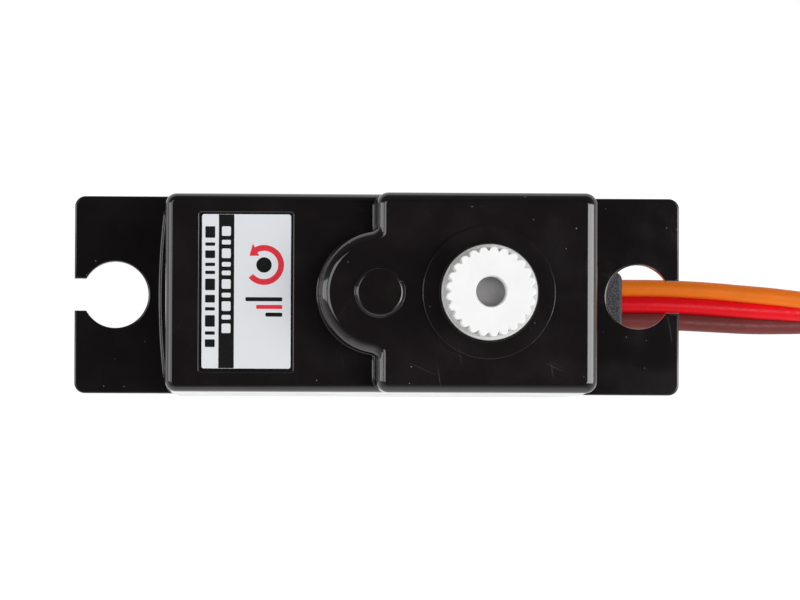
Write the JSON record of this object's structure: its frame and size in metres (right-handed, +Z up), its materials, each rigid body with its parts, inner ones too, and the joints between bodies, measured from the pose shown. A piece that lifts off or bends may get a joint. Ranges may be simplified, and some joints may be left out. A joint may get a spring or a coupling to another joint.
{
  "type": "servo motor",
  "caption": "Mini servo motor: geared actuator in a black plastic case with slotted mounting tabs, a toothed output spline and a flat wire lead ending in a connector.",
  "frame": {"origin": "centre of the case's bottom face, on the surface that the motor stands on", "axes": "+X along the case towards the output shaft and the lead, +Y across the case, +Z up along the output shaft"},
  "size_m": [0.0889, 0.0372, 0.0328],
  "materials": {
    "case_plastic": "glossy black moulded plastic",
    "steel": "bright drawn steel",
    "motor_can": "plated drawn steel",
    "motor_core": "stacked laminations",
    "white_nylon": "white moulded nylon",
    "cream_nylon": "off-white moulded nylon",
    "bronze": "sintered bronze",
    "brass": "turned or stamped brass",
    "copper": "copper bars",
    "magnet_wire": "enamelled copper wire",
    "ferrite": "dull sintered magnet",
    "carbon": "pressed carbon",
    "grey_plastic": "dark grey moulded plastic",
    "circuit_board": "green solder mask over copper tracks",
    "chip": "black chip moulding",
    "capacitor_can": "bare aluminium can",
    "resin": "brown phenolic",
    "relief_rubber": "dark grey textured rubber",
    "label": "satin white printed film",
    "wire_orange": "soft orange insulation",
    "wire_red": "soft red insulation",
    "wire_brown": "soft brown insulation",
    "connector": "black moulded connector",
    "tie": "black plastic tie"
  },
  "bodies": {
    "case": {"top_cover": "case_plastic", "middle_case": "case_plastic", "bottom_cover": "case_plastic", "case_screw_1": "steel", "case_screw_2": "steel", "case_screw_3": "steel", "case_screw_4": "steel", "label": "label", "output_bushing": "bronze", "idler_axle": "steel", "motor_can": "motor_can", "motor_bearing": "bronze", "motor_end_cap": "grey_plastic", "motor_magnet_1": "ferrite", "motor_magnet_2": "ferrite", "motor_brush_1": "carbon", "motor_brush_2": "carbon", "motor_terminal_1": "brass", "motor_terminal_2": "brass", "sensor_housing": "grey_plastic", "sensor_track": "resin", "sensor_wire_1": "wire_brown", "sensor_wire_2": "wire_red", "sensor_wire_3": "wire_orange", "circuit_board": "circuit_board", "control_ic": "chip", "motor_driver_ic": "chip", "filter_capacitor": "capacitor_can", "resonator": "resin", "strain_relief": "relief_rubber", "ground_wire_end": "wire_brown", "power_wire_end": "wire_red", "signal_wire_end": "wire_orange", "lead_cable": "wire_red", "lead_coil": "wire_red", "lead_tail": "wire_red", "lead_tie": "tie", "connector_housing": "connector", "connector_contact_1": "brass", "connector_contact_2": "brass", "connector_contact_3": "brass"},
    "motor_rotor": {"motor_shaft": "steel", "motor_armature": "motor_core", "motor_winding_1": "magnet_wire", "motor_winding_2": "magnet_wire", "motor_winding_3": "magnet_wire", "motor_commutator": "copper", "motor_pinion": "brass"},
    "first_gear": {"gear_1": "cream_nylon"},
    "second_gear": {"gear_2": "white_nylon"},
    "third_gear": {"gear_3": "white_nylon"},
    "output": {"output_gear": "white_nylon", "sensor_shaft": "grey_plastic", "sensor_wiper": "brass"}
  },
  "joints": [
    {"name": "motor_spin", "type": "hinge", "parent": "case", "child": "motor_rotor", "pos_m": [-0.00605, 0, 0], "axis": [0, 0, 1], "range_deg": [-6118, 6118]},
    {"name": "gear_1_spin", "type": "hinge", "parent": "case", "child": "first_gear", "pos_m": [-0.00005, 0, 0], "axis": [0, 0, 1], "range_deg": [-1610.5, 1610.5]},
    {"name": "gear_2_spin", "type": "hinge", "parent": "case", "child": "second_gear", "pos_m": [0.007, 0, 0], "axis": [0, 0, 1], "range_deg": [-616, 616]},
    {"name": "gear_3_spin", "type": "hinge", "parent": "case", "child": "third_gear", "pos_m": [-0.00005, 0, 0], "axis": [0, 0, 1], "range_deg": [-235.6, 235.6]},
    {"name": "output_turn", "type": "hinge", "parent": "case", "child": "output", "pos_m": [0.007, 0, 0], "axis": [0, 0, 1], "range_deg": [-90, 90]}
  ],
  "couplings": [
    {"joint": "gear_1_spin", "follows": "motor_spin", "ratio": -0.26316},
    {"joint": "gear_2_spin", "follows": "motor_spin", "ratio": 0.10062},
    {"joint": "gear_3_spin", "follows": "motor_spin", "ratio": -0.038472},
    {"joint": "output_turn", "follows": "motor_spin", "ratio": 0.01471}
  ]
}
